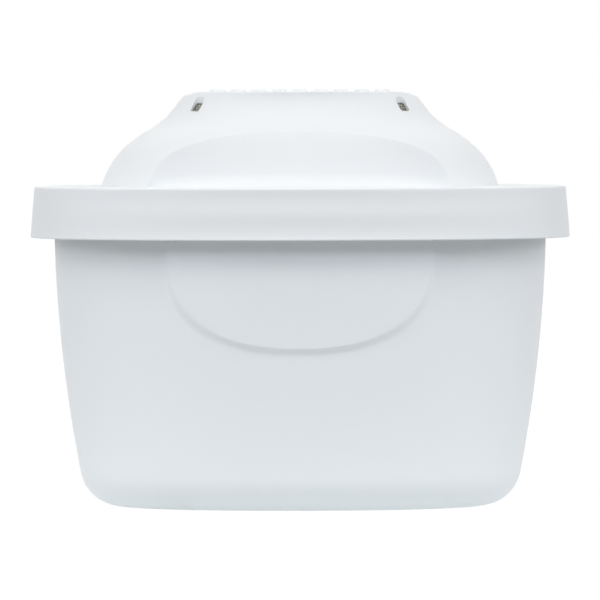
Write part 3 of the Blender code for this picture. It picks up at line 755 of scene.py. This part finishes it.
def make_outlet_screen():
    radius = (SCREEN_HIGH.x - SCREEN_LOW.x) / 2 - OUTLET_WIRE
    middle_z = (SCREEN_LOW.z + SCREEN_HIGH.z) / 2

    def place(x, y, lift):
        return np.stack([x, y, middle_z + lift], axis=1)

    def reach(way):
        count = int(radius / OUTLET_PITCH)
        for number in range(-count, count + 1):
            line = number * OUTLET_PITCH
            half = math.sqrt(radius ** 2 - line ** 2)
            if half > OUTLET_PITCH:
                yield number, line, -half, half

    return woven_cloth("outlet_screen_weave", place, reach, OUTLET_PITCH, OUTLET_WIRE)


# Granulate bed

def granules(points, inward):
    """Sinks a skin of points between the grains, which stand in random places."""
    sunk = []
    for spot, way in zip(points, inward):
        near, _ = noise.voronoi(Vector(spot) / GRAIN_SIZE)
        sunk.append(spot + way * min(near[0] * GRAIN_SIZE, GRAIN_SIZE / 2) * GRAIN_SINK)
    return np.array(sunk)


def make_filter_media():
    angles = spread_angles(MEDIA_COLUMNS, CUP_HALF_WIDTH, CUP_HALF_DEPTH)
    round_angles = np.arctan2(np.sin(angles), np.cos(angles))
    room = CUP_WALL + CLEARANCE
    floor_z = CUP_FLOOR + CLEARANCE
    edge_z = MEDIA_HIGH.z - MEDIA_HEAP
    top_width, top_depth = cup_axes(edge_z, room)
    rings = [ring(angles, top_width * share, top_depth * share, edge_z + MEDIA_HEAP * (1 - share))
             for share in np.linspace(0.02, 1, 60)]
    _, wall_foot = foot_lean(room, floor_z)
    rings += [ring(angles, *cup_axes(height, room), height)
              for height in np.linspace(edge_z, wall_foot, 60)[1:]]
    rings += list(reversed(foot_rings(angles, room, floor_z, 12)))[1:]
    boss_foot = round_ring(round_angles, WELL_MOUTH_RADIUS + room, floor_z)
    over = SCREEN_HIGH.z + CLEARANCE
    boss_top = round_ring(round_angles, WELL_ROOF_RADIUS + room, over)
    rings += between(rings[-1], boss_foot, np.linspace(0, 1, 26)[1:])
    rings += between(boss_foot, boss_top, np.linspace(0, 1, 14)[1:])
    rings += [boss_top * np.array([share, share, 1]) for share in np.linspace(1, 0.05, 16)[1:]]
    smooth_bed = shell_from_rings("granulate_bed", rings, (0, 0, MEDIA_HIGH.z), (0, 0, over))
    mesh = smooth_bed.data
    points = np.array([v.co for v in mesh.vertices])
    inward = -np.array([v.normal for v in mesh.vertices])
    mesh.vertices.foreach_set("co", granules(points, inward).ravel())
    mesh.update()
    return smooth_bed


# Cup

def cup_inset(height):
    drop = RIM_UNDERSIDE_Z - np.asarray(height, float)
    return CUP_DRAFT * drop + CUP_BELLY * drop * np.abs(drop)


def cup_axes(height, depth_inside=0.0):
    inset = cup_inset(height) + depth_inside
    return CUP_HALF_WIDTH - inset, CUP_HALF_DEPTH - inset


def pad_proud(x, height):
    """How far the pads stand proud: crisp on their outline, with a soft fillet outside it."""
    across = np.abs(x) / PAD_HALF_WIDTH
    down = np.maximum((PAD_CENTRE_Z - height) / PAD_DROP, 0.0)
    radial = np.maximum((across ** PAD_POWER + down ** PAD_POWER) ** (1 / PAD_POWER), 1e-6)
    slope_x = (across / radial) ** (PAD_POWER - 1) / PAD_HALF_WIDTH
    slope_z = (down / radial) ** (PAD_POWER - 1) / PAD_DROP
    outside = (radial - 1) / np.maximum(np.hypot(slope_x, slope_z), 1e-6)
    share = np.clip(outside / PAD_FILLET, 0, 1)
    return PAD_PROUD * (1 - share) ** PAD_FILLET_POWER


def cup_ring(angles, height, inset=0.0, pads=True):
    half_width, half_depth = cup_axes(height)
    points = ring(angles, half_width - inset, half_depth - inset, height)
    if pads:
        points[:, 1] += np.sign(points[:, 1]) * pad_proud(points[:, 0], points[:, 2])
    return points


def foot_lean(depth_inside, floor_z):
    """Lean of the wall where the foot's arc runs into it, and the height of that place."""
    radius = FOOT_RADIUS - depth_inside
    lean = math.atan(CUP_DRAFT + 2 * CUP_BELLY * (RIM_UNDERSIDE_Z - floor_z - radius))
    return lean, floor_z + radius * (1 - math.sin(lean))


def foot_rings(angles, depth_inside, floor_z, steps):
    """Rings round the foot, from the floor up to the wall."""
    radius = FOOT_RADIUS - depth_inside
    lean, wall_foot = foot_lean(depth_inside, floor_z)
    half_width, half_depth = cup_axes(wall_foot, depth_inside)
    rings = []
    for angle in np.linspace(0, np.pi / 2 - lean, steps):
        inset = radius * (math.cos(lean) - math.sin(angle))
        height = floor_z + radius * (1 - math.cos(angle))
        rings.append(ring(angles, half_width - inset, half_depth - inset, height))
    return rings


def cup_outer_rings(angles):
    """From the middle of the well's roof, under the base and up the outside to the lip."""
    round_angles = np.arctan2(np.sin(angles), np.cos(angles))
    roof = [round_ring(round_angles, WELL_ROOF_RADIUS * share, WELL_HEIGHT) for share in (0.3, 0.6, 0.9)]
    corner = round_ring(round_angles, WELL_ROOF_RADIUS, WELL_HEIGHT)
    mouth = round_ring(round_angles, WELL_MOUTH_RADIUS, 0.0)
    foot = foot_rings(angles, 0.0, 0.0, 22)
    rings = roof + rounded(roof[-1], corner, mouth, WELL_ROOF_EDGE_RADIUS)
    rings += between(corner, mouth, (0.2, 0.5, 0.8))
    rings += rounded(corner, mouth, foot[0], WELL_MOUTH_EDGE_RADIUS)
    rings += between(mouth, foot[0], OPEN_SHARES) + foot
    heights = np.concatenate([
        np.linspace(foot_lean(0.0, 0.0)[1], PAD_LOW_Z, 34)[1:],
        np.linspace(PAD_LOW_Z, PAD_CURVE_Z, 44)[1:],
        np.linspace(PAD_CURVE_Z, PAD_SIDE_Z, 44)[1:],
        np.linspace(PAD_SIDE_Z, CUP_TOP_Z - LIP_THICKNESS, 22)[1:],
    ])
    rings += [cup_ring(angles, height) for height in heights]
    lip_z = CUP_TOP_Z - LIP_THICKNESS
    half_width, half_depth = cup_axes(CUP_TOP_Z)
    rings.append(ring(angles, half_width + LIP_WIDTH, half_depth + LIP_WIDTH, lip_z))
    rings.append(ring(angles, half_width + LIP_WIDTH, half_depth + LIP_WIDTH, CUP_TOP_Z))
    return rings


def cup_inner_rings(angles):
    """Down the inside, over the floor and up the boss of the outlet well."""
    round_angles = np.arctan2(np.sin(angles), np.cos(angles))
    _, wall_foot = foot_lean(CUP_WALL, CUP_FLOOR)
    rings = [ring(angles, *cup_axes(height, CUP_WALL), height)
             for height in np.linspace(CUP_TOP_Z, wall_foot, 14)]
    foot = list(reversed(foot_rings(angles, CUP_WALL, CUP_FLOOR, 8)))
    rings += foot[1:]
    boss_foot = round_ring(round_angles, WELL_MOUTH_RADIUS + CUP_WALL, CUP_FLOOR)
    boss_top = round_ring(round_angles, WELL_ROOF_RADIUS + CUP_WALL, WELL_TOP_Z)
    rings += between(foot[-1], boss_foot, (0.5, 1.0))
    rings += between(boss_foot, boss_top, (0.5, 1.0))
    rings += [boss_top * np.array([share, share, 1]) for share in (0.9, 0.6, 0.3)]
    return rings


def outlet_window_outlines():
    outlines = []
    arc_steps = 16
    for number in range(OUTLET_WINDOWS):
        middle = 2 * math.pi * (number + 0.5) / OUTLET_WINDOWS
        outline = []
        for radius, order in ((OUTLET_WINDOW_OUTER, 1), (OUTLET_WINDOW_INNER, -1)):
            spread = math.pi / OUTLET_WINDOWS - math.asin(OUTLET_SPOKE / 2 / radius)
            for step in range(arc_steps + 1):
                angle = middle + order * spread * (2 * step / arc_steps - 1)
                outline.append((radius * math.cos(angle), radius * math.sin(angle)))
        outlines.append(outline)
    return outlines


def make_cup():
    crowd_width, crowding = 0.0022, 2.4
    angles = spread_angles(
        CUP_COLUMNS, CUP_HALF_WIDTH, CUP_HALF_DEPTH, PAD_HALF_WIDTH, crowd_width, crowding)
    rings = cup_outer_rings(angles) + cup_inner_rings(angles)
    cup = shell_from_rings("cup_shell", rings[::-1], (0, 0, WELL_TOP_Z), (0, 0, WELL_HEIGHT))
    cutter = prisms("outlet_cutters", outlet_window_outlines(), WELL_HEIGHT - WALL, WELL_TOP_Z + WALL)
    apply_boolean(cup, cutter, "DIFFERENCE")
    soften(cup, CUP_SHARP_ANGLE)
    return cup


# Materials

def new_material(name):
    material = bpy.data.materials.new(name)
    material.use_nodes = True
    tree = material.node_tree
    return material, tree, tree.nodes["Principled BSDF"]


def add_noise(tree, scale, detail, roughness=0.5):
    coordinates = tree.nodes.new("ShaderNodeTexCoord")
    grain = tree.nodes.new("ShaderNodeTexNoise")
    grain.inputs["Scale"].default_value = scale
    grain.inputs["Detail"].default_value = detail
    grain.inputs["Roughness"].default_value = roughness
    tree.links.new(coordinates.outputs["Object"], grain.inputs["Vector"])
    return grain


def map_value(tree, source, low, high):
    spread = tree.nodes.new("ShaderNodeMapRange")
    spread.inputs["To Min"].default_value = low
    spread.inputs["To Max"].default_value = high
    tree.links.new(source, spread.inputs["Value"])
    return spread.outputs["Result"]


def white_plastic(name, colour, roughness):
    """Moulded polypropylene: satin, faintly uneven, with a little light in the wall."""
    material, tree, shader = new_material(name)
    shader.inputs["Subsurface Weight"].default_value = 0.12
    shader.inputs["Subsurface Radius"].default_value = (1.0, 1.0, 1.0)
    shader.inputs["Subsurface Scale"].default_value = 0.0012
    shader.inputs["Specular IOR Level"].default_value = 0.2
    shader.inputs["IOR"].default_value = 1.49
    flow = add_noise(tree, 60.0, 3.0)
    tint = tree.nodes.new("ShaderNodeMix")
    tint.data_type = "RGBA"
    tint.inputs[6].default_value = (*[c * 0.985 for c in colour], 1)
    tint.inputs[7].default_value = (*colour, 1)
    tree.links.new(flow.outputs["Fac"], tint.inputs[0])
    tree.links.new(tint.outputs[2], shader.inputs["Base Color"])
    grain = add_noise(tree, 900.0, 2.0)
    tree.links.new(map_value(tree, grain.outputs["Fac"], roughness - 0.05, roughness + 0.05),
                   shader.inputs["Roughness"])
    bump = tree.nodes.new("ShaderNodeBump")
    bump.inputs["Strength"].default_value = 0.12
    bump.inputs["Distance"].default_value = 0.00004
    tree.links.new(grain.outputs["Fac"], bump.inputs["Height"])
    tree.links.new(bump.outputs["Normal"], shader.inputs["Normal"])
    return material


def simple_finish(name, colour, roughness):
    material, tree, shader = new_material(name)
    shader.inputs["Roughness"].default_value = roughness
    grain = add_noise(tree, 1500.0, 2.0)
    tint = tree.nodes.new("ShaderNodeMix")
    tint.data_type = "RGBA"
    tint.inputs[6].default_value = (*[c * 0.8 for c in colour], 1)
    tint.inputs[7].default_value = (*[min(c * 1.1, 1) for c in colour], 1)
    tree.links.new(grain.outputs["Fac"], tint.inputs[0])
    tree.links.new(tint.outputs[2], shader.inputs["Base Color"])
    return material


# Studio

def seen_share(tree):
    """1 for rays that see the backdrop itself, straight or by mirror or glass; 0 for light that falls."""
    path = tree.nodes.new("ShaderNodeLightPath")
    total = path.outputs["Is Camera Ray"]
    for name in ("Is Glossy Ray", "Is Transmission Ray"):
        either = tree.nodes.new("ShaderNodeMath")
        either.operation = "MAXIMUM"
        tree.links.new(total, either.inputs[0])
        tree.links.new(path.outputs[name], either.inputs[1])
        total = either.outputs[0]
    return total


def by_radius(tree, first_radius, last_radius, first, last):
    """A level that goes from first to last between two distances from the part."""
    place = tree.nodes.new("ShaderNodeTexCoord")
    distance = tree.nodes.new("ShaderNodeVectorMath")
    distance.operation = "LENGTH"
    tree.links.new(place.outputs["Object"], distance.inputs[0])
    level = tree.nodes.new("ShaderNodeMapRange")
    level.inputs["From Min"].default_value = first_radius
    level.inputs["From Max"].default_value = last_radius
    level.inputs["To Min"].default_value = first
    level.inputs["To Max"].default_value = last
    tree.links.new(distance.outputs["Value"], level.inputs["Value"])
    return level.outputs["Result"]


def glowing_surface(tree, grey, colour, strength):
    diffuse = tree.nodes.new("ShaderNodeBsdfDiffuse")
    diffuse.inputs["Color"].default_value = (grey, grey, grey, 1)
    glow = tree.nodes.new("ShaderNodeEmission")
    glow.inputs["Color"].default_value = (*colour, 1)
    tree.links.new(strength, glow.inputs["Strength"])
    both = tree.nodes.new("ShaderNodeAddShader")
    tree.links.new(diffuse.outputs[0], both.inputs[0])
    tree.links.new(glow.outputs[0], both.inputs[1])
    return both.outputs[0]


def make_floor():
    """Lights the part with a glow close to it, and looks white with a faint shadow."""
    reach = 12.0
    vertices = [(-reach, -reach, 0), (reach, -reach, 0), (reach, reach, 0), (-reach, reach, 0)]
    floor = mesh_object("studio_floor", vertices, [(0, 1, 2, 3)])
    floor.location.z = -FLOOR_DROP
    material = bpy.data.materials.new("studio_floor")
    material.use_nodes = True
    tree = material.node_tree
    tree.nodes.clear()
    output = tree.nodes.new("ShaderNodeOutputMaterial")
    falling = by_radius(tree, GLOW_RADIUS - GLOW_EDGE, GLOW_RADIUS + GLOW_EDGE, GLOW, 0.0)
    seen = by_radius(tree, SHADE_RADIUS, SHADE_REACH, SHADE_GLOW, 1.0)
    mix = tree.nodes.new("ShaderNodeMixShader")
    tree.links.new(seen_share(tree), mix.inputs[0])
    tree.links.new(glowing_surface(tree, LIT_FLOOR_GREY, GLOW_COLOUR, falling), mix.inputs[1])
    tree.links.new(glowing_surface(tree, SEEN_FLOOR_GREY, (1, 1, 1), seen), mix.inputs[2])
    tree.links.new(mix.outputs[0], output.inputs["Surface"])
    floor.data.materials.append(material)


def make_world():
    world = bpy.data.worlds.new("studio_world")
    bpy.context.scene.world = world
    world.use_nodes = True
    tree = world.node_tree
    tree.nodes.clear()
    output = tree.nodes.new("ShaderNodeOutputWorld")
    fill = tree.nodes.new("ShaderNodeBackground")
    fill.inputs["Strength"].default_value = FILL
    white = tree.nodes.new("ShaderNodeBackground")
    white.inputs["Color"].default_value = (1, 1, 1, 1)
    mix = tree.nodes.new("ShaderNodeMixShader")
    tree.links.new(seen_share(tree), mix.inputs[0])
    tree.links.new(fill.outputs[0], mix.inputs[1])
    tree.links.new(white.outputs[0], mix.inputs[2])
    tree.links.new(mix.outputs[0], output.inputs["Surface"])


def make_lights():
    for name, place, width, height, brightness, colour in SOFTBOXES:
        lamp = bpy.data.lights.new(name, "AREA")
        lamp.shape = "RECTANGLE"
        lamp.size = width
        lamp.size_y = height
        lamp.energy = brightness * math.pi * width * height
        lamp.color = colour
        item = bpy.data.objects.new(name, lamp)
        item.location = place
        item.rotation_euler = (Vector((0, 0, 0.05)) - Vector(place)).to_track_quat("-Z", "Y").to_euler()
        item.visible_camera = False
        item.visible_glossy = False
        bpy.context.scene.collection.objects.link(item)


def make_camera():
    camera = bpy.data.cameras.new("photo_camera")
    item = bpy.data.objects.new("photo_camera", camera)
    bpy.context.scene.collection.objects.link(item)
    bpy.context.scene.camera = item
    height = (FLOOR_ROW - HORIZON_ROW) / PIXELS_PER_METRE
    drop = (PHOTO_SIDE / 2 - HORIZON_ROW) / PIXELS_PER_METRE
    aside = (PHOTO_SIDE / 2 - CENTRE_COLUMN) / PIXELS_PER_METRE
    reach = math.hypot(CAMERA_DISTANCE, drop)
    camera.sensor_width = 36.0
    camera.lens = PIXELS_PER_METRE * reach / PHOTO_SIDE * camera.sensor_width
    camera.clip_start = 0.05
    camera.clip_end = 50
    item.location = (aside, -CAMERA_DISTANCE, height)
    aim = Vector((0, CAMERA_DISTANCE, -drop))
    turn = aim.to_track_quat("-Z", "Y").to_matrix()
    item.rotation_euler = (turn @ Matrix.Rotation(math.radians(CAMERA_ROLL), 3, "Z")).to_euler()


def dress(piece, material, node):
    """Puts a fine piece in the place of a CAD node."""
    piece.data.materials.clear()
    piece.data.materials.append(material)
    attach(piece, "root")
    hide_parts(node)


def main():
    cup_plastic = white_plastic("cup_plastic_fine", CUP_COLOUR, CUP_ROUGHNESS)
    lid_plastic = white_plastic("lid_plastic_fine", LID_COLOUR, LID_ROUGHNESS)
    mesh_cloth = simple_finish("screen_mesh_fine", MESH_COLOUR, MESH_ROUGHNESS)
    granulate = simple_finish("granulate_fine", GRANULATE_COLOUR, GRANULATE_ROUGHNESS)

    dress(make_lid(), lid_plastic, "lid")
    dress(make_cup(), cup_plastic, "cup")
    for corner, middle, outward in window_places():
        cloth = make_inlet_screen(f"inlet_weave_{corner}", middle, outward)
        dress(cloth, mesh_cloth, f"inlet_screen_{corner}")
    dress(make_outlet_screen(), mesh_cloth, "outlet_screen")
    dress(make_filter_media(), granulate, "filter_media")

    make_floor()
    make_world()
    make_lights()
    make_camera()
    bpy.context.scene.view_settings.view_transform = "Standard"


main()
